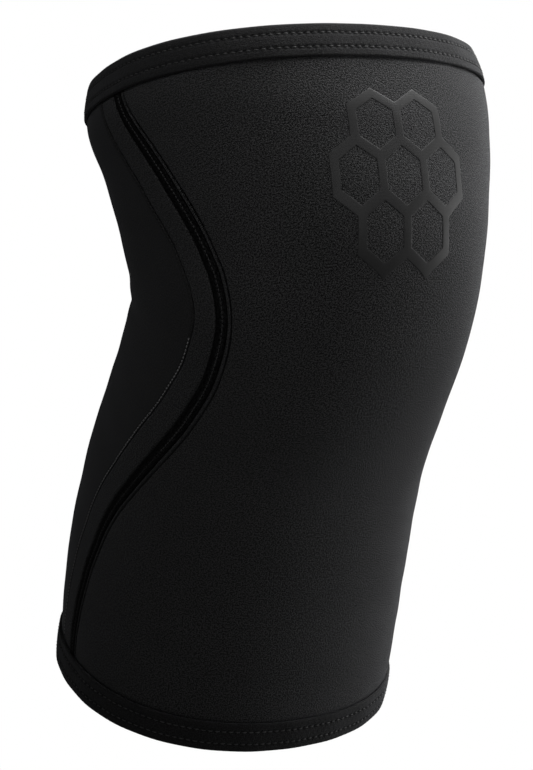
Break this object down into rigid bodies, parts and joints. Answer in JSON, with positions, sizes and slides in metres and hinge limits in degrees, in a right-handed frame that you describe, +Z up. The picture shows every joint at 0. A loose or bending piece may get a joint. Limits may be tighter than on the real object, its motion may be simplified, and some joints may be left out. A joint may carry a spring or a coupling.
{
  "type": "knee sleeve",
  "caption": "Pre-bent tubular knee sleeve of cloth-faced neoprene, with curved side seams, folded hems at both rims and a raised lattice print above the kneecap.",
  "frame": {"origin": "middle of the knee, in the hollow of the sleeve, on the axis of the leg where thigh and calf meet", "axes": "+Z up towards the thigh, -Y the front where the kneecap lies, +X the left side as the wearer sees it"},
  "size_m": [0.1364, 0.193, 0.25],
  "materials": {
    "front_cloth": "matt black knitted jersey laminated to neoprene, slightly grainy",
    "back_cloth": "fine smooth black knitted jersey laminated to neoprene",
    "hem_cloth": "matt black stretch cloth folded over the rim and sewn down in two rows",
    "seam_tape": "dense black stretch tape with a faint sheen",
    "print_film": "dark grey heat-transfer film, satin"
  },
  "bodies": {
    "root": {"front_panel": "front_cloth", "back_panel": "back_cloth", "side_strip_left": "front_cloth", "side_strip_right": "front_cloth", "seam_tape_left": "seam_tape", "seam_tape_right": "seam_tape", "hem_top": "hem_cloth", "hem_bottom": "hem_cloth", "knee_print": "print_film"}
  },
  "joints": []
}
